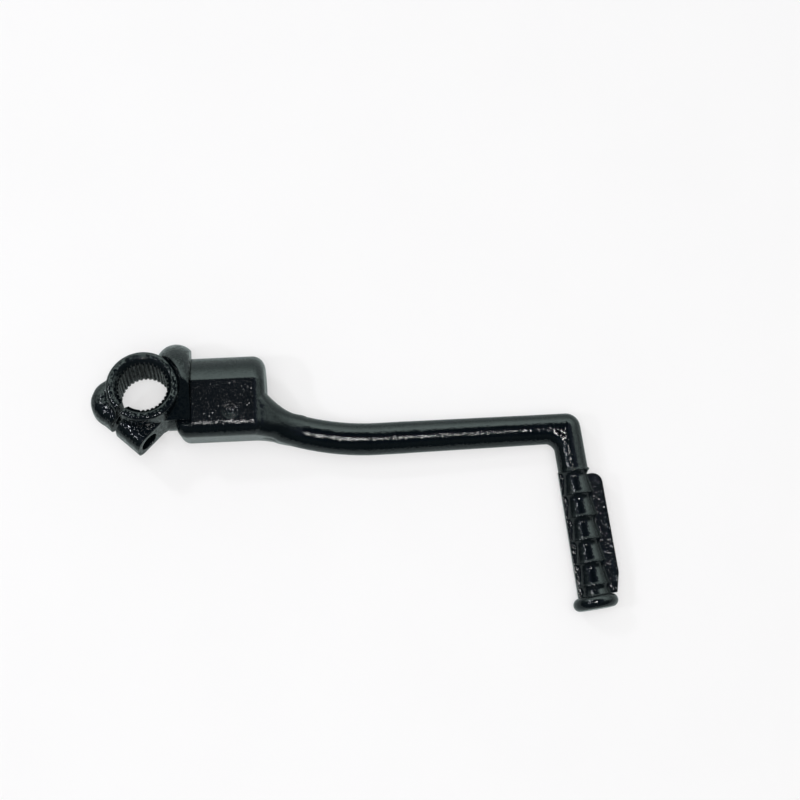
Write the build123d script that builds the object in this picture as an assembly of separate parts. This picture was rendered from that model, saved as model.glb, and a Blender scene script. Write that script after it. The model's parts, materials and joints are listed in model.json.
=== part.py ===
"""Folding kick start lever of a motorcycle: a forged arm with a ribbed foot tread, hinged on a
splined clamp hub.

Frame: X runs along the fold pivot from the hub to the tread, Z is up as the lever lies on a table,
and the origin is the middle of the clamp's bore. The pieces are drawn with the pivot as their X axis
and moved there at the end. The hub has a frame of its own, turned about X by HUB_TILT, whose Z is the
kick shaft's axis.
"""
import os
from math import cos, radians, sin, sqrt, tan

from build123d import *

# Kick shaft clamp
SPLINE_TEETH = 36
SPLINE_MINOR_D = 20.4
SPLINE_MAJOR_D = 22.0
SPLINE_SPACE_MOUTH = 1.0
SPLINE_SPACE_FLOOR = 0.5
SPLINE_BLANK_SPACES = 3
MOUTH_D = 24.6
COLLAR_D = 30.6
COLLAR_TOP = 19.0
CLAMP_BOTTOM = -2.0
COLLAR_EDGE = 1.3
SLIT_ANGLE = 226.0
SLIT_WIDTH = 3.0

# Pinch bolt ears, for an M8 bolt
EAR_TOP = 10.5
EAR_REACH = 19.5
EAR_ROOT = 0.5
EAR_PROUD = 0.4
EAR_TOP_ROUND = 5.5
EAR_BOTTOM_ROUND = 3.5
HEAD_EAR_LENGTH = 14.5
TAPPED_EAR_LENGTH = 18.3
TAPPED_EAR_R = 10.0
BOLT_REACH = 13.0
BOLT_CLEAR_D = 8.4
BOLT_TAP_D = 6.8

# Fold pivot
HUB_TILT = 15.0
SPIGOT_D = 18.0
SPIGOT_CLEAR = 0.05
SPIGOT_END = 44.0
SPIGOT_CHAMFER = 1.0
SHOULDER_D = 22.0
SHOULDER_X = 19.4
THRUST_GAP = 0.3
WEB_D = 25.0
WEB_START = 9.0
LUG_START = 13.2

# Fold stops, angles from the hub's own Z towards its Y
STOP_R = 23.6
STOP_LEFT_X = 5.5
STOP_LEFT_R = 18.5
STOP_CREST_X = 12.2
STOP_RIGHT_R = 21.0
STOP_BACK_ANGLE = 80.0
STOP_RIDGE_ANGLE = 4.5
STOP_FOOT_ANGLE = -51.0
STOP_FOOT_R = 16.6
STOP_PLAY = 1.0
COLLAR_ROOM = 0.4
COLLAR_STAND = 1.6

# Barrel of the arm
BARREL_R = 17.3
BARREL_FLAT_ANGLE = 21.5
BARREL_FRONT = 16.4
BARREL_FOOT = 17.1
BARREL_CORNER = 6.0
BARREL_END = 50.4
BARREL_END_ROUND = 5.5
BORE_END = 45.0
LUG_ROUND = 4.5

# Rod, corner and tread
ROD_START_X = 30.0
ROD_START_Y = -8.2
ROD_BEND_D = 13.5
ROD_END_D = 12.6
ROD_DIP_X = 79.0
ROD_DIP_Y = -19.9
ROD_DIP_SLOPE = 17.0
ROD_BEND_IN = 50.0
ROD_BEND_OUT = 110.0
CORNER_X = 175.7
CORNER_Y = -18.3
CORNER_BEND = 10.9
CORNER_INSET = 0.15
CORNER_FILL_BEND = 5.6
CORNER_FILL_INSET = 0.07
DROOP = 2.8
DROOP_X = 42.0
TREAD_LEAN = 7.2
TREAD_OFFSET = 0.1
TREAD_START = 18.4
TREAD_RIBS = 6
TREAD_PITCH = 9.75
TREAD_CREST_R = 6.4
TREAD_VALLEY = 1.25
TREAD_STEP = 1.4
TREAD_HOLLOW_R = 2.4
TREAD_BEAD = 0.55
TREAD_BEAD_RISE = 0.35
LIP_R = 9.5
LIP_OFFSET = -0.4
LIP_THICK = 5.6
LIP_GAP = 4.4
FIN_LEFT_START = 6.5
FIN_LEFT = 7.3
FIN_RIGHT = 11.2
FIN_START = 20.6
FIN_TIP = 9.2
FIN_THICK = 3.4
FIN_CORNER = 4.2
FIN_TAPER = 8.0

# Shoulder from the barrel to the rod, in sections: place along X, upper and lower edge in Y, half depth
# and corner. The last three lie on the rod's line and keep its width.
SHOULDER_ROOT_X = 43.0
SHOULDER_ROOT_UPPER = 4.0
SHOULDER_ROOT_LOWER = -17.2
SHOULDER_ROOT_DEEP = 16.0
SHOULDER_ROOT_CORNER = 6.2
SHOULDER_BROAD_X = 49.0
SHOULDER_BROAD_UPPER = 2.0
SHOULDER_BROAD_LOWER = -17.6
SHOULDER_BROAD_DEEP = 15.0
SHOULDER_BROAD_CORNER = 6.4
SHOULDER_WAIST_X = 53.0
SHOULDER_WAIST_UPPER = -2.2
SHOULDER_WAIST_LOWER = -18.6
SHOULDER_WAIST_DEEP = 12.8
SHOULDER_WAIST_CORNER = 6.5
SHOULDER_NECK_X = 57.0
SHOULDER_NECK_DEEP = 10.2
SHOULDER_THROAT_X = 61.5
SHOULDER_THROAT_DEEP = 8.0
SHOULDER_TIP_X = 66.0
SHOULDER_THROAT_INSET = 0.12
SHOULDER_TIP_INSET = 0.3
SHOULDER_SIDE = 0.6

# Retaining pin across the barrel
PIN_D = 4.4
PIN_X = 36.0
PIN_Y = -6.9
PIN_SINK = 1.6
PIN_RIM_D = 6.6
PIN_RIM_DEPTH = 0.9
PIN_DISH_D = 3.6
PIN_DISH = 0.5
GROOVE_PLAY = 0.15

# Fold detent in the spigot
BALL_D = 6.0
BALL_PROUD = 1.1
BALL_X = 26.5
BALL_CLEAR = 0.2
DETENT_HOLE_D = 6.4
DETENT_FLOOR = -2.0
POCKET_EXTRA = 0.3
SPRING_WIRE_D = 0.9
SPRING_D = 5.2
SPRING_TURNS = 4
SPRING_SIDES = 8
SPRING_SEAT = 0.05

# Sizes that follow from the driving dimensions
FOLD_TRAVEL = 90.0 - HUB_TILT
CLAMP_HEIGHT = COLLAR_TOP - CLAMP_BOTTOM
EAR_HEIGHT = EAR_TOP - CLAMP_BOTTOM
BOLT_Z = (EAR_TOP + CLAMP_BOTTOM) / 2
BARREL_START = SHOULDER_X + THRUST_GAP
BALL_CENTRE = SPIGOT_D / 2 + BALL_PROUD - BALL_D / 2
CUT_PAST = 5.0
FAR = 60.0


def turned(angle, radius):
    """A point in the Y-Z plane, at an angle from +Z towards +Y."""
    return (radius * sin(radians(angle)), radius * cos(radians(angle)))


def across(x):
    """The plane square to the pivot at x, with Y and Z as its own axes."""
    return Plane.YZ.offset(x)


def pivot_cylinder(diameter, start, end):
    return extrude(across(start) * Circle(diameter / 2), amount=end - start)


def sector(first, last, radius):
    """A pie slice in the Y-Z plane between two angles from +Z towards +Y."""
    steps = 8
    rim = [turned(first + (last - first) * i / steps, radius) for i in range(steps + 1)]
    return make_face(Polyline((0, 0), *rim, close=True))


def hub_turned(shape):
    """From the hub's frame to the lever's frame."""
    return Rot(X=-HUB_TILT) * shape


def spline_cutter():
    """The serrated bore: the tip circle and the spaces between the teeth, with a lead-in cone at
    each mouth. A few spaces beside the slit are left blank."""
    tip_r = SPLINE_MINOR_D / 2
    floor_r = SPLINE_MAJOR_D / 2
    bottom = CLAMP_BOTTOM - FAR / 2
    height = COLLAR_TOP + CUT_PAST - bottom
    half_mouth = SPLINE_SPACE_MOUTH / 2
    half_floor = SPLINE_SPACE_FLOOR / 2
    inner = tip_r - half_mouth
    space = make_face(Polyline(
        (inner, -half_mouth), (tip_r, -half_mouth), (floor_r, -half_floor),
        (floor_r, half_floor), (tip_r, half_mouth), (inner, half_mouth), close=True))
    pitch = 360 / SPLINE_TEETH
    first = SLIT_ANGLE + pitch * (SPLINE_BLANK_SPACES + 1)
    outline = Circle(tip_r)
    for i in range(SPLINE_TEETH - SPLINE_BLANK_SPACES - 1):
        outline += Rot(Z=first + pitch * i) * space
    cutter = Pos(Z=bottom) * extrude(outline, amount=height)
    lead = MOUTH_D / 2 - tip_r
    cone = Cone(tip_r, MOUTH_D / 2 + CUT_PAST, lead + CUT_PAST)
    cutter += Pos(Z=COLLAR_TOP + (CUT_PAST - lead) / 2) * cone
    cutter += Pos(Z=CLAMP_BOTTOM - (CUT_PAST - lead) / 2) * Rot(X=180) * cone
    return cutter


def clamp_ears():
    """The tapped jaw, rounded as forged, and the bar of both ears, spot-faced at the bolt's head."""
    boss_x = TAPPED_EAR_R - TAPPED_EAR_LENGTH
    boss = Pos(boss_x, TAPPED_EAR_R - EAR_REACH - EAR_PROUD) * Circle(TAPPED_EAR_R)
    outline = make_hull(Circle(COLLAR_D / 2).edges() + boss.edges())
    jaw = Pos(Z=CLAMP_BOTTOM) * extrude(outline, amount=EAR_HEIGHT)
    jaw = fillet(jaw.faces().sort_by(Axis.Z)[-1].edges(), EAR_TOP_ROUND)
    jaw = fillet(jaw.faces().sort_by(Axis.Z)[0].edges(), EAR_BOTTOM_ROUND)
    section = Pos(-(EAR_REACH + EAR_ROOT) / 2, BOLT_Z) * Rectangle(EAR_REACH - EAR_ROOT, EAR_HEIGHT)
    outer = section.vertices().group_by(Axis.X)[0].sort_by(Axis.Y)
    section = fillet(outer[-1], EAR_TOP_ROUND)
    outer = section.vertices().sort_by_distance((-EAR_REACH, CLAMP_BOTTOM))
    section = fillet(outer[0], EAR_BOTTOM_ROUND)
    return jaw + extrude(across(boss_x) * section, amount=HEAD_EAR_LENGTH - boss_x)


def clamp_cuts():
    """The slit and the two halves of the pinch bolt's hole, in the ears' own directions."""
    slit = Pos(Y=-FAR / 2) * Box(SLIT_WIDTH, FAR, FAR * 2)
    along = Pos(Y=-BOLT_REACH, Z=BOLT_Z) * Rot(Y=90)
    clear = along * Pos(Z=FAR / 2) * Cylinder(BOLT_CLEAR_D / 2, FAR)
    tap = along * Pos(Z=-FAR / 2) * Cylinder(BOLT_TAP_D / 2, FAR)
    return [slit, clear, tap]


def fold_stop():
    """The stop beside the barrel: a domed lobe round the pivot that falls by a flat to its foot."""
    profile = make_face([
        Line((STOP_LEFT_X, 0), (STOP_LEFT_X, STOP_LEFT_R)),
        ThreePointArc((STOP_LEFT_X, STOP_LEFT_R), (STOP_CREST_X, STOP_R), (SHOULDER_X, STOP_RIGHT_R)),
        Line((SHOULDER_X, STOP_RIGHT_R), (SHOULDER_X, 0)),
        Line((SHOULDER_X, 0), (STOP_LEFT_X, 0))])
    dome = revolve(Plane.XZ * profile, Axis.X)
    slice_face = sector(STOP_FOOT_ANGLE, STOP_BACK_ANGLE, FAR)
    lobe = dome & extrude(across(STOP_LEFT_X - 1) * slice_face, amount=FAR)
    ridge = turned(STOP_RIDGE_ANGLE, STOP_R)
    foot = turned(STOP_FOOT_ANGLE, STOP_FOOT_R)
    run = sqrt((ridge[0] - foot[0]) ** 2 + (ridge[1] - foot[1]) ** 2)
    out = ((foot[1] - ridge[1]) / run, (ridge[0] - foot[0]) / run)
    middle = ((ridge[0] + foot[0]) / 2, (ridge[1] + foot[1]) / 2)
    flat = Plane(origin=(0, middle[0], middle[1]), x_dir=(1, 0, 0), z_dir=(0, out[0], out[1]))
    lobe -= flat * Pos(Z=FAR / 2) * Box(FAR * 2, FAR * 2, FAR)
    room = Cylinder(COLLAR_D / 2 + COLLAR_ROOM, FAR)
    return lobe - Pos(Z=COLLAR_TOP - COLLAR_STAND + FAR / 2) * room


def spigot():
    """The pivot pin of the hub, with its shoulder, the retaining groove and the detent's hole."""
    pin = pivot_cylinder(SPIGOT_D, WEB_START, SPIGOT_END)
    pin = chamfer(pin.edges().sort_by(Axis.X)[-1], SPIGOT_CHAMFER)
    pin += pivot_cylinder(SHOULDER_D, WEB_START, SHOULDER_X)
    pin += pivot_cylinder(WEB_D, WEB_START, LUG_START - THRUST_GAP)
    groove_half = PIN_D / 2 + GROOVE_PLAY
    floor_d = 2 * (abs(PIN_Y) - groove_half)
    groove = pivot_cylinder(SPIGOT_D + 2, PIN_X - groove_half, PIN_X + groove_half)
    pin -= groove - pivot_cylinder(floor_d, PIN_X - FAR, PIN_X + FAR)
    hole_height = SPIGOT_D - DETENT_FLOOR
    pin -= Pos(BALL_X, 0, DETENT_FLOOR + hole_height / 2) * Cylinder(DETENT_HOLE_D / 2, hole_height)
    return pin


def clamp_hub():
    """Forged hub: a splined split clamp for the kick shaft and the spigot that the arm folds on."""
    to_ears = Rot(Z=SLIT_ANGLE + 90)
    collar = Pos(Z=(COLLAR_TOP + CLAMP_BOTTOM) / 2) * Cylinder(COLLAR_D / 2, CLAMP_HEIGHT)
    collar = fillet(collar.edges().group_by(Axis.Z)[-1], COLLAR_EDGE)
    hub = to_ears * clamp_ears() + collar
    hub += spigot()
    hub += fold_stop()
    hub -= spline_cutter()
    for cut in clamp_cuts():
        hub -= to_ears * cut
    return hub_turned(hub)


def barrel_section():
    """The barrel's outline: round above the pivot, squared below it where the rod leaves."""
    front = turned(BARREL_FLAT_ANGLE, BARREL_R)
    back = (front[0], -front[1])
    knee = BARREL_CORNER * (1 - sqrt(0.5))
    low = -BARREL_FOOT
    flat_end = low + BARREL_CORNER
    side = BARREL_FRONT - BARREL_CORNER
    return make_face([
        ThreePointArc(front, (BARREL_R, 0), back),
        Line(back, (flat_end, -BARREL_FRONT)),
        ThreePointArc((flat_end, -BARREL_FRONT), (low + knee, knee - BARREL_FRONT), (low, -side)),
        Line((low, -side), (low, side)),
        ThreePointArc((low, side), (low + knee, BARREL_FRONT - knee), (flat_end, BARREL_FRONT)),
        Line((flat_end, BARREL_FRONT), front)])


def barrel():
    """Barrel of the arm with the stop lug that runs round the hub's shoulder."""
    outline = barrel_section()
    body = extrude(across(BARREL_START) * outline, amount=BARREL_END - BARREL_START)
    body = fillet(body.faces().sort_by(Axis.X)[-1].edges(), BARREL_END_ROUND)
    first = STOP_FOOT_ANGLE + HUB_TILT - STOP_PLAY
    last = STOP_BACK_ANGLE + HUB_TILT - 360 + FOLD_TRAVEL + STOP_PLAY
    lug = extrude(across(LUG_START) * outline, amount=BARREL_START - LUG_START)
    lug = fillet(lug.faces().sort_by(Axis.X)[0].edges(), LUG_ROUND)
    lug &= extrude(across(LUG_START) * sector(first, last, FAR), amount=BARREL_START - LUG_START)
    return body + lug


def rod_shoulder(turn_x):
    """The root of the rod: the barrel's squared side drawn down to the rod's own diameter."""
    rings = []
    for x, upper, lower, deep, corner in (
            (SHOULDER_ROOT_X, SHOULDER_ROOT_UPPER, SHOULDER_ROOT_LOWER, SHOULDER_ROOT_DEEP,
             SHOULDER_ROOT_CORNER),
            (SHOULDER_BROAD_X, SHOULDER_BROAD_UPPER, SHOULDER_BROAD_LOWER, SHOULDER_BROAD_DEEP,
             SHOULDER_BROAD_CORNER),
            (SHOULDER_WAIST_X, SHOULDER_WAIST_UPPER, SHOULDER_WAIST_LOWER, SHOULDER_WAIST_DEEP,
             SHOULDER_WAIST_CORNER)):
        ring = RectangleRounded(upper - lower, 2 * deep, corner)
        rings.append(across(x) * Pos((upper + lower) / 2, 0) * ring)
    dip = radians(ROD_DIP_SLOPE)
    rod_r = ROD_BEND_D / 2
    throat_r = rod_r - SHOULDER_THROAT_INSET
    tip_r = rod_r - SHOULDER_TIP_INSET
    for x, width, deep in ((SHOULDER_NECK_X, rod_r, SHOULDER_NECK_DEEP),
                           (SHOULDER_THROAT_X, throat_r, SHOULDER_THROAT_DEEP),
                           (SHOULDER_TIP_X, tip_r, tip_r)):
        on_rod = Plane(origin=(x, ROD_START_Y - (x - turn_x) * tan(dip), 0), x_dir=(sin(dip), cos(dip), 0),
                       z_dir=(cos(dip), -sin(dip), 0))
        rings.append(on_rod * RectangleRounded(2 * width, 2 * deep, width - SHOULDER_SIDE))
    return loft(rings)


def rod_and_corner():
    """The forged rod, its square corner and the foot tread, drawn flat before the rod's droop."""
    turn_x = ROD_DIP_X - (ROD_START_Y - ROD_DIP_Y) / tan(radians(ROD_DIP_SLOPE))
    corner = Vector(CORNER_X, CORNER_Y)
    run_dir = (corner - Vector(ROD_DIP_X, ROD_DIP_Y)).normalized()
    run_start = Vector(ROD_DIP_X, ROD_DIP_Y) + run_dir * ROD_BEND_OUT / 4
    path = FilletPolyline(
        (ROD_START_X, ROD_START_Y), (turn_x, ROD_START_Y), (ROD_DIP_X, ROD_DIP_Y), run_start,
        radius=[ROD_BEND_IN, ROD_BEND_OUT])
    rod = sweep(Plane(origin=path @ 0, z_dir=path % 0) * Circle(ROD_BEND_D / 2), path=path)
    run = (corner - run_start).length
    taper = Pos(Z=run / 2) * Cone(ROD_BEND_D / 2, ROD_END_D / 2, run)
    rod += Plane(origin=run_start, z_dir=run_dir) * taper
    rod += rod_shoulder(turn_x)
    lean = radians(TREAD_LEAN)
    tread_dir = Vector(sin(lean), -cos(lean), 0)
    rod_r = ROD_END_D / 2
    for bend, inset in ((CORNER_BEND, CORNER_INSET), (CORNER_FILL_BEND, CORNER_FILL_INSET)):
        knee = FilletPolyline(
            corner - run_dir * 2 * CORNER_BEND, corner, corner + tread_dir * TREAD_START, radius=bend)
        rod += sweep(Plane(origin=knee @ 0, z_dir=knee % 0) * Circle(rod_r - inset), path=knee)
    rod += Pos(corner) * Sphere(rod_r)
    tread = Plane(origin=corner, x_dir=tread_dir, z_dir=(0, 0, 1)) * foot_tread()
    return rod + tread


def foot_tread():
    """Shank, ribbed tread, side fin and end lip, along +X from the corner, the fin towards +Y."""
    shank = Plane.YZ * Pos(Z=TREAD_START / 2) * Cylinder(ROD_END_D / 2, TREAD_START)
    crest = TREAD_CREST_R
    dip = crest - TREAD_VALLEY
    top = crest + TREAD_BEAD_RISE
    rib_x = [TREAD_START + TREAD_PITCH * i for i in range(TREAD_RIBS)]
    back = TREAD_START - TREAD_VALLEY
    lip_x = rib_x[-1] + LIP_GAP
    points = [(back, 0), (back, dip)]
    for x in rib_x:
        foot = crest - TREAD_VALLEY / 2 if x == rib_x[-1] else dip
        points += [
            (x - TREAD_BEAD, crest), (x - TREAD_BEAD / 2, top), (x + TREAD_BEAD / 2, top),
            (x + TREAD_BEAD, crest), (x + TREAD_BEAD + TREAD_STEP, foot)]
    points += [(lip_x, crest), (lip_x, 0)]
    profile = make_face(Polyline(*points, close=True))
    feet = [v for v in profile.vertices() if v.X > TREAD_START and abs(v.Y - dip) < TREAD_BEAD_RISE / 10]
    profile = fillet(feet, TREAD_HOLLOW_R)
    tread = Pos(Y=TREAD_OFFSET) * revolve(profile, Axis.X)
    root = LIP_R - LIP_THICK / 2
    bead = make_face([
        Line((lip_x, 0), (lip_x, root)),
        ThreePointArc((lip_x, root), (lip_x + LIP_THICK / 2, LIP_R), (lip_x + LIP_THICK, root)),
        Line((lip_x + LIP_THICK, root), (lip_x + LIP_THICK, 0)),
        Line((lip_x + LIP_THICK, 0), (lip_x, 0))])
    lip = Pos(Y=LIP_OFFSET) * revolve(bead, Axis.X)
    fin = make_face(Polyline(
        (TREAD_START, -FIN_LEFT_START), (lip_x, -FIN_LEFT), (lip_x, FIN_TIP),
        (lip_x - FIN_TAPER, FIN_RIGHT), (FIN_START, FIN_RIGHT), (FIN_START, 0), (TREAD_START, 0), close=True))
    fin = fillet(fin.vertices().sort_by(Axis.Y)[-2:], FIN_CORNER)
    plate = Pos(Z=-FIN_THICK / 2) * extrude(fin, amount=FIN_THICK)
    return shank + tread + plate + lip


def detent_track():
    """Path of the ball round the barrel's bore, with a deeper pocket at each end of the fold."""
    tube = BALL_D / 2 + BALL_CLEAR
    first = HUB_TILT
    last = HUB_TILT + FOLD_TRAVEL
    ring = Plane.XZ * Pos(BALL_X, BALL_CENTRE) * Circle(tube)
    track = Rot(X=-first) * revolve(ring, Axis.X, revolution_arc=-FOLD_TRAVEL)
    for angle in (first, last):
        y, z = turned(angle, BALL_CENTRE)
        track += Pos(BALL_X, y, z) * Sphere(tube + POCKET_EXTRA)
    return track


def kick_arm():
    """One forging: barrel, rod, corner and foot tread, bored for the spigot and its pin."""
    rod = Pos(DROOP_X) * Rot(Y=DROOP) * Pos(-DROOP_X) * rod_and_corner()
    arm = barrel() + rod
    bore = pivot_cylinder(SPIGOT_D + 2 * SPIGOT_CLEAR, LUG_START - CUT_PAST, BORE_END)
    lug_bore = pivot_cylinder(SHOULDER_D + 2 * THRUST_GAP, LUG_START - CUT_PAST, BARREL_START)
    arm = arm - bore - lug_bore - detent_track()
    arm -= Pos(PIN_X, PIN_Y) * Cylinder(PIN_D / 2, FAR)
    rim = BARREL_FRONT - PIN_RIM_DEPTH + FAR / 2
    for side in (rim, -rim):
        arm -= Pos(PIN_X, PIN_Y, side) * Cylinder(PIN_RIM_D / 2, FAR)
    return arm


def retaining_pin():
    """Dowel pressed across the barrel, tangent to the spigot's groove, with dished ends."""
    half = BARREL_FRONT - PIN_SINK
    pin = Pos(PIN_X, PIN_Y) * Cylinder(PIN_D / 2, 2 * half)
    dish_r = (PIN_DISH_D ** 2 / 4 + PIN_DISH ** 2) / (2 * PIN_DISH)
    for side in (1, -1):
        pin -= Pos(PIN_X, PIN_Y, side * (half + dish_r - PIN_DISH)) * Sphere(dish_r)
    return pin


def detent_ball():
    """Steel ball that holds the arm folded or out."""
    return hub_turned(Pos(BALL_X, 0, BALL_CENTRE) * Sphere(BALL_D / 2))


def detent_spring():
    """Coil spring under the ball, in the spigot's blind hole."""
    mean_r = (SPRING_D - SPRING_WIRE_D) / 2
    low = DETENT_FLOOR + SPRING_WIRE_D / 2 + SPRING_SEAT
    reach = BALL_D / 2 + SPRING_WIRE_D / 2 + SPRING_SEAT
    high = BALL_CENTRE - sqrt(reach ** 2 - mean_r ** 2)
    height = high - low
    helix = Helix(height / SPRING_TURNS, height, mean_r)
    wire = Plane(origin=helix @ 0, z_dir=helix % 0) * RegularPolygon(SPRING_WIRE_D / 2, SPRING_SIDES)
    return hub_turned(Pos(BALL_X, 0, low) * sweep(wire, path=helix, is_frenet=True))


bore_middle = hub_turned(Pos(Z=(COLLAR_TOP + CLAMP_BOTTOM) / 2)).position
os.makedirs("parts", exist_ok=True)
for name, shape in {
    "clamp_hub": clamp_hub(),
    "kick_arm": kick_arm(),
    "retaining_pin": retaining_pin(),
    "detent_ball": detent_ball(),
    "detent_spring": detent_spring(),
}.items():
    shape = Pos(-bore_middle) * shape
    shape.label = name
    export_step(shape, f"parts/{name}.step")
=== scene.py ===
import json
import math

import bpy
from mathutils import Matrix, Vector

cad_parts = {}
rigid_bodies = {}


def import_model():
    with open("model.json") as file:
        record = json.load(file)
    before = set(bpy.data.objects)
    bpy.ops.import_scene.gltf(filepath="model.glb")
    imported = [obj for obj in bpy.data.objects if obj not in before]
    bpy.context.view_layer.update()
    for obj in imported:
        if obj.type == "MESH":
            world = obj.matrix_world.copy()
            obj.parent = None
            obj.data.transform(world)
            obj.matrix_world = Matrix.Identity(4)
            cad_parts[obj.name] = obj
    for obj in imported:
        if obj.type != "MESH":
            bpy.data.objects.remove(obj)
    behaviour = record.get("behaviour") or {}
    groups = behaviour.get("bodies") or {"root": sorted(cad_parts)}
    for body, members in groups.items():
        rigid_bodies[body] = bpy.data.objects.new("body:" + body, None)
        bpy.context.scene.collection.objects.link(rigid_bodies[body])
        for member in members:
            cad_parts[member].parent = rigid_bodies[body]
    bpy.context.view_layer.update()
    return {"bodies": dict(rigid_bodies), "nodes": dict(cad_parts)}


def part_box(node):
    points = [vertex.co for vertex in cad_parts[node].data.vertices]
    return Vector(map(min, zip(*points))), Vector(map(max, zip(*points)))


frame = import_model()

# The lever as a whole: steel forgings, put together and then sprayed gloss black by hand. The coat is
# thick. It caught grains of dry overspray on hub and barrel, and lies wetter and cleaner on the rod.
MM = 0.001
PAINT_BLACK = "#03070a"
PAINT_NAVY = "#070d12"
ENAMEL_IOR = 1.5
FORGED_MM = 9.0
FORGED_STRENGTH = 0.6
FORGED_DEPTH_MM = 0.1
PEEL_MM = 1.3
PEEL_DEPTH_MM = 0.2
EDGE_SAMPLES = 6
DUSTY_END_MM = 50.0
CLEAN_START_MM = 64.0
CLEAN_SHARE = 0.55
WET_PEEL = 0.75
WET_ROUGH = 0.07


def linear(hex_colour):
    """An sRGB hex colour as linear RGBA."""
    channels = [int(hex_colour[i:i + 2], 16) / 255 for i in (1, 3, 5)]
    return [c / 12.92 if c <= 0.04045 else ((c + 0.055) / 1.055) ** 2.4 for c in channels] + [1.0]


def bare_tree(owner):
    """The node tree of a material or a world, emptied."""
    owner.use_nodes = True
    owner.node_tree.nodes.clear()
    return owner.node_tree


def add(tree, kind, settings=None, slots=None, **named):
    """One node with its settings. Its inputs, by number or by name, take a value or a link."""
    node = tree.nodes.new(kind)
    for name, value in (settings or {}).items():
        setattr(node, name, value)
    inputs = {node.inputs[number]: value for number, value in (slots or {}).items()}
    inputs.update({node.inputs[name.replace("_", " ")]: value for name, value in named.items()})
    for socket, value in inputs.items():
        if isinstance(value, bpy.types.NodeSocket):
            tree.links.new(value, socket)
        else:
            socket.default_value = value
    return node


def ramp(tree, value, start, end, low, high, shape="LINEAR"):
    """A result that goes from low to high while a value goes from start to end."""
    node = add(tree, "ShaderNodeMapRange", {"interpolation_type": shape}, Value=value,
               From_Min=start, From_Max=end, To_Min=low, To_Max=high)
    return node.outputs["Result"]


def blend(tree, share, first, second):
    """Two colours mixed. Sockets 6 and 7 are a Mix node's colours, and its output 2 is theirs."""
    return add(tree, "ShaderNodeMix", {"data_type": "RGBA"}, {6: first, 7: second}, Factor=share).outputs[2]


def vector_maths(tree, operation, first, second):
    """A vector operation on two vectors."""
    return add(tree, "ShaderNodeVectorMath", {"operation": operation}, {0: first, 1: second})


def gloss_black_paint(name, peel, dust, grain_mm, rough, edge_mm):
    """Sprayed enamel on forged steel: a deep black with a wet gloss. Orange peel frays the edge of each
    reflection. Each grain of overspray lies at its own small slant, so the flats glint in a fine
    stipple, and the thick coat rounds every edge. Past the barrel, along X, the peel grows deeper and
    the grains lie flatter. They are drawn about twice as coarse as real ones, so that the picture
    shows them."""
    paint = bpy.data.materials.new(name)
    tree = bare_tree(paint)
    place = add(tree, "ShaderNodeTexCoord").outputs["Object"]
    x = add(tree, "ShaderNodeSeparateXYZ", Vector=place).outputs["X"]
    dusty_end = DUSTY_END_MM * MM
    clean_start = CLEAN_START_MM * MM

    edge = add(tree, "ShaderNodeBevel", {"samples": EDGE_SAMPLES}, Radius=edge_mm * MM)
    forged = add(tree, "ShaderNodeTexNoise", Vector=place, Scale=1 / (FORGED_MM * MM), Detail=2.0)
    wave = add(tree, "ShaderNodeBump", Strength=FORGED_STRENGTH, Distance=FORGED_DEPTH_MM * MM,
               Height=forged.outputs["Fac"], Normal=edge.outputs["Normal"])
    peel_skin = add(tree, "ShaderNodeTexNoise", Vector=place, Scale=1 / (PEEL_MM * MM), Detail=2.0,
                    Roughness=0.5)
    skin = add(tree, "ShaderNodeBump", Strength=ramp(tree, x, dusty_end, clean_start, peel, WET_PEEL),
               Distance=PEEL_DEPTH_MM * MM, Height=peel_skin.outputs["Fac"], Normal=wave.outputs["Normal"])

    grains = add(tree, "ShaderNodeTexVoronoi", Vector=place, Scale=1 / (grain_mm * MM))
    lean = vector_maths(tree, "SUBTRACT", grains.outputs["Color"], (0.5, 0.5, 0.5))
    slant = add(tree, "ShaderNodeVectorMath", {"operation": "SCALE"}, {0: lean.outputs["Vector"]},
                Scale=ramp(tree, x, dusty_end, clean_start, dust, dust * CLEAN_SHARE))
    stipple = vector_maths(tree, "ADD", skin.outputs["Normal"], slant.outputs["Vector"])
    face = add(tree, "ShaderNodeVectorMath", {"operation": "NORMALIZE"}, {0: stipple.outputs["Vector"]})

    tone = blend(tree, forged.outputs["Fac"], linear(PAINT_BLACK), linear(PAINT_NAVY))
    dull = ramp(tree, x, dusty_end, clean_start, rough, WET_ROUGH)
    shader = add(tree, "ShaderNodeBsdfPrincipled", Base_Color=tone, IOR=ENAMEL_IOR, Roughness=dull,
                 Normal=face.outputs["Vector"])
    add(tree, "ShaderNodeOutputMaterial", Surface=shader.outputs["BSDF"])
    return paint


def dress(node, material):
    """Gives a CAD piece its finish."""
    slots = frame["nodes"][node].data.materials
    slots.clear()
    slots.append(material)


# Clamp hub: a forging, broached for the kick shaft and slit for the pinch bolt. It is painted with the
# arm in place, so the same wet black lies on its collar, ears and stop.
dress("clamp_hub", gloss_black_paint("hub_gloss_black", peel=0.6, dust=0.23, grain_mm=0.6, rough=0.07,
                                     edge_mm=0.9))

# Kick arm: one steel forging from the barrel to the end lip of the tread. It folds on the hub's spigot,
# and the grains in its paint are finer than the hub's.
dress("kick_arm", gloss_black_paint("arm_gloss_black", peel=0.32, dust=0.2, grain_mm=0.28, rough=0.11,
                                    edge_mm=0.8))

# Retaining pin: a steel dowel pressed across the barrel, which keeps the arm on the spigot. Its end is
# dished and painted over.
dress("retaining_pin", gloss_black_paint("pin_gloss_black", peel=0.2, dust=0.06, grain_mm=0.28, rough=0.12,
                                         edge_mm=1.2))

# Detent ball and spring: a bearing ball on a short coil spring, in the spigot's blind hole. They are
# steel, and no paint reaches them.
SCRATCH_MM = 0.3
SCRATCH_STRENGTH = 0.1
SCRATCH_DEPTH_MM = 0.02
OIL_SPREAD = 0.15


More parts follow.
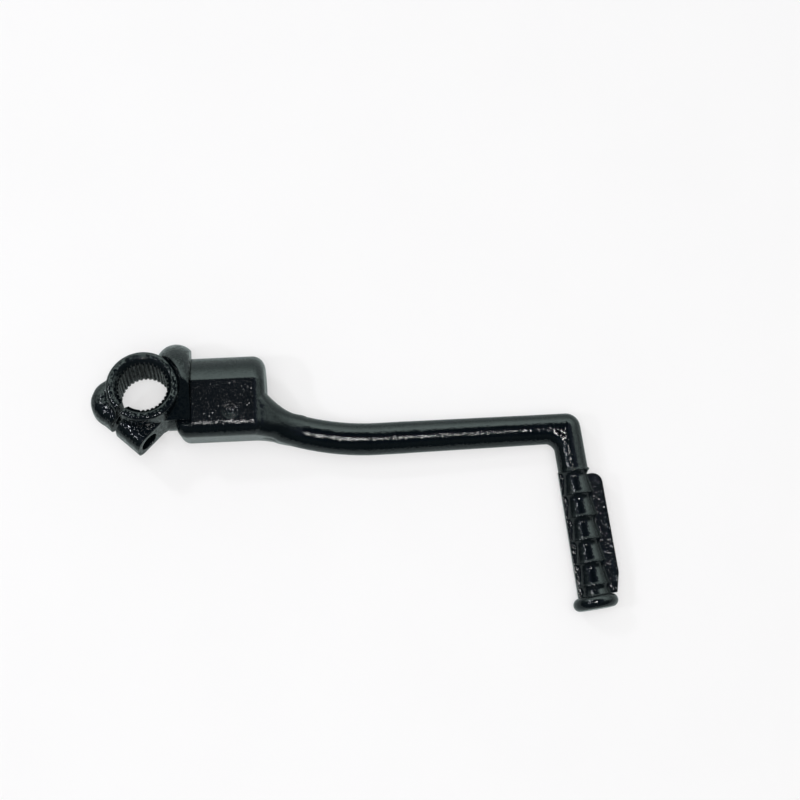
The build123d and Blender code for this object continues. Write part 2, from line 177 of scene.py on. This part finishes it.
def bright_steel(name, colour, rough):
    """Ground or drawn steel under a film of oil: a cool grey mirror with fine scratches."""
    steel = bpy.data.materials.new(name)
    tree = bare_tree(steel)
    place = add(tree, "ShaderNodeTexCoord").outputs["Object"]
    scratch = add(tree, "ShaderNodeTexNoise", Vector=place, Scale=1 / (SCRATCH_MM * MM), Detail=3.0)
    film = ramp(tree, scratch.outputs["Fac"], 0.0, 1.0, rough, rough + OIL_SPREAD)
    fine = add(tree, "ShaderNodeBump", Strength=SCRATCH_STRENGTH, Distance=SCRATCH_DEPTH_MM * MM,
               Height=scratch.outputs["Fac"])
    shader = add(tree, "ShaderNodeBsdfPrincipled", Base_Color=linear(colour), Metallic=1.0,
                 Roughness=film, Normal=fine.outputs["Normal"])
    add(tree, "ShaderNodeOutputMaterial", Surface=shader.outputs["BSDF"])
    return steel


dress("detent_ball", bright_steel("ground_bearing_steel", "#c9cacc", rough=0.12))
dress("detent_spring", bright_steel("drawn_spring_steel", "#86888b", rough=0.25))

# Floor: a plain pale table top that the lever lies on, far wider than the view. It stays level with the
# tread's lowest corner, so that the arm has room when it is folded out with the hub held.
TABLE_SIZE = 6.0
TABLE_MIDDLE_X = 0.1
BOARD_GRAIN_MM = 60.0
BOARD_PALE = "#fbf9f9"
BOARD_SHADE = "#f6f4f4"
# Painted shade: the board's colour as the lever's gloss mirrors it, darker than the board itself.
BOARD_PAINTED_SHADE_IN_GLOSS = "#b4c0be"
BOARD_WHITE = "#faf9f9"
WHITE_SHARE = 0.42
BOARD_ROUGH = 0.6

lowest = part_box("kick_arm")[0]
bpy.ops.mesh.primitive_plane_add(size=TABLE_SIZE, location=(TABLE_MIDDLE_X, 0, lowest.z))
floor = bpy.context.object
floor.name = "table_top"
tread_corner = bpy.data.objects.new("tread_corner", None)
bpy.context.scene.collection.objects.link(tread_corner)
tread_corner.parent = frame["bodies"]["arm"]
tread_corner.matrix_world = Matrix.Translation(lowest)
level = floor.constraints.new("COPY_LOCATION")
level.target = tread_corner
level.use_x = False
level.use_y = False


def mix_shaders(tree, share, first, second):
    """Two shaders mixed by a share from 0 to 1."""
    return add(tree, "ShaderNodeMixShader", None, {0: share, 1: first, 2: second}).outputs["Shader"]


def pale_painted_board():
    """Flat white paint on a board, faintly cloudy. In the lever's gloss the board takes a darker colour,
    a painted shade that stands for the board near the lever. The camera sees part of it as plain white, and
    the shadow stays."""
    board = bpy.data.materials.new("pale_painted_board")
    tree = bare_tree(board)
    ray = add(tree, "ShaderNodeLightPath")
    place = add(tree, "ShaderNodeTexCoord").outputs["Object"]
    cloud = add(tree, "ShaderNodeTexNoise", Vector=place, Scale=1 / (BOARD_GRAIN_MM * MM), Detail=4.0)
    tone = blend(tree, cloud.outputs["Fac"], linear(BOARD_PALE), linear(BOARD_SHADE))
    # Painted shade: gloss rays see the board in a darker colour, standing in for the lever's shade on it.
    seen = blend(tree, ray.outputs["Is Glossy Ray"], tone, linear(BOARD_PAINTED_SHADE_IN_GLOSS))
    skin = add(tree, "ShaderNodeBsdfPrincipled", Base_Color=seen, Roughness=BOARD_ROUGH)
    white = add(tree, "ShaderNodeEmission", Color=linear(BOARD_WHITE), Strength=1.0)
    share = add(tree, "ShaderNodeMath", {"operation": "MULTIPLY"},
                {0: ray.outputs["Is Camera Ray"], 1: WHITE_SHARE})
    surface = mix_shaders(tree, share.outputs["Value"], skin.outputs["BSDF"], white.outputs["Emission"])
    add(tree, "ShaderNodeOutputMaterial", Surface=surface)
    return board


floor.data.materials.append(pale_painted_board())

# Light: a workshop with a dark roof and pale walls, brightest behind the lever. Only the gloss mirrors
# that room. The table takes a soft daylight from all round and from a skylight, which stands near the
# camera so that shadows hide under the lever. Past the table the picture stays plain white.
WALL_TINT = "#dbf0eb"
ROOF_TINT = "#a9b4d4"
DAY_TINT = "#fbfdfd"
PAST_TABLE = "#f8f9f9"
BACK_WALL = (0.25, 0.97, 0.0)
SKYLIGHT = (0.0, -0.06, 0.998)
# Each range has the start and end of a part of the direction, then the value at both.
WALL_BY_SIDE = (-0.05, 0.85, 0.04, 1.1)
WALL_BY_HEIGHT = (0.0, 0.78, 0.75, 3.4)
WALL_TO_ROOF = (0.69, 0.74, 1.0, 0.0)
ROOF_BY_SIDE = (0.1, 0.6, 0.02, 0.35)
DAY_BY_SIDE = (-1.0, 1.0, 0.21, 0.27)
SKYLIGHT_EDGE = (0.9, 0.97, 0.0, 3.6)


def workshop_room():
    """The room that the gloss mirrors, the daylight on all else and the white that the camera sees."""
    room = bpy.data.worlds.new("workshop_room")
    tree = bare_tree(room)
    ray = add(tree, "ShaderNodeLightPath")
    way = add(tree, "ShaderNodeTexCoord").outputs["Generated"]
    parts = add(tree, "ShaderNodeSeparateXYZ", Vector=way)
    height = parts.outputs["Z"]
    behind = vector_maths(tree, "DOT_PRODUCT", way, BACK_WALL).outputs["Value"]
    overhead = vector_maths(tree, "DOT_PRODUCT", way, SKYLIGHT).outputs["Value"]
    sideways = add(tree, "ShaderNodeMath", {"operation": "ABSOLUTE"}, {0: parts.outputs["X"]})

    def glow(tint, strength):
        """An even light of one colour."""
        return add(tree, "ShaderNodeBackground", Color=linear(tint), Strength=strength).outputs["Background"]

    wall_light = add(tree, "ShaderNodeMath", {"operation": "MULTIPLY"},
                     {0: ramp(tree, height, *WALL_BY_HEIGHT),
                      1: ramp(tree, behind, *WALL_BY_SIDE, "SMOOTHSTEP")})
    walls = glow(WALL_TINT, wall_light.outputs["Value"])
    roof = glow(ROOF_TINT, ramp(tree, sideways.outputs["Value"], *ROOF_BY_SIDE, "SMOOTHSTEP"))
    mirrored = mix_shaders(tree, ramp(tree, height, *WALL_TO_ROOF, "SMOOTHSTEP"), roof, walls)

    day_light = add(tree, "ShaderNodeMath", {"operation": "ADD"},
                    {0: ramp(tree, behind, *DAY_BY_SIDE),
                     1: ramp(tree, overhead, *SKYLIGHT_EDGE, "SMOOTHSTEP")})
    daylight = glow(DAY_TINT, day_light.outputs["Value"])

    lit = mix_shaders(tree, ray.outputs["Is Glossy Ray"], daylight, mirrored)
    seen = mix_shaders(tree, ray.outputs["Is Camera Ray"], lit, glow(PAST_TABLE, 1.0))
    add(tree, "ShaderNodeOutputWorld", Surface=seen)
    return room


bpy.context.scene.world = workshop_room()

# Lamps: two small ones beside the camera draw the broken lines of glints on rod and barrel. A third from
# the left and a fourth from a window behind light the collar and the ears.
LEVER_MIDDLE = Vector((0.1, -0.03, -0.01))
LAMP_WHITE = "#ffffff"
LAMP_COOL = "#f6f9ff"


def lamp(name, place, long, wide, power, colour):
    """A soft lamp, in metres and watts, that faces the lever."""
    light = bpy.data.lights.new(name, "AREA")
    light.shape = "RECTANGLE"
    light.size = long
    light.size_y = wide
    light.energy = power
    light.color = linear(colour)[:3]
    holder = bpy.data.objects.new(name, light)
    holder.location = place
    holder.rotation_euler = (LEVER_MIDDLE - Vector(place)).to_track_quat("-Z", "Y").to_euler()
    bpy.context.scene.collection.objects.link(holder)


lamp("rod_lamp", (0.16, -0.2, 1.6), long=0.17, wide=0.05, power=4.4, colour=LAMP_WHITE)
lamp("barrel_lamp", (-0.03, -0.2, 1.6), long=0.1, wide=0.05, power=1.5, colour=LAMP_WHITE)
lamp("side_lamp", (-0.75, -0.15, 1.2), long=0.09, wide=0.09, power=2.2, colour=LAMP_COOL)
lamp("window_lamp", (-0.6, 0.67, 1.2), long=0.09, wide=0.09, power=2.2, colour=LAMP_COOL)

# Camera: held nearly straight above the lever, a little towards the tread's side, slightly turned.
TILT = math.radians(7)
ROLL = math.radians(2.6)
PHOTO_WIDTH = 0.336
DISTANCE = 1.2
SENSOR_MM = 36
aim = Vector((0.1064, -0.0061, -0.0082))
back = Vector((0, -math.sin(TILT), math.cos(TILT)))
level_up = Vector((0, math.cos(TILT), math.sin(TILT)))
level_right = Vector((1, 0, 0))
right = math.cos(ROLL) * level_right - math.sin(ROLL) * level_up
up = math.sin(ROLL) * level_right + math.cos(ROLL) * level_up
turn = Matrix((right, up, back)).transposed().to_4x4()
view = bpy.data.cameras.new("photo_view")
view.sensor_width = SENSOR_MM
view.lens = SENSOR_MM * DISTANCE / PHOTO_WIDTH
viewer = bpy.data.objects.new("photo_view", view)
viewer.matrix_world = Matrix.Translation(aim + DISTANCE * back) @ turn
bpy.context.scene.collection.objects.link(viewer)
bpy.context.scene.camera = viewer
bpy.context.scene.view_settings.view_transform = "Standard"
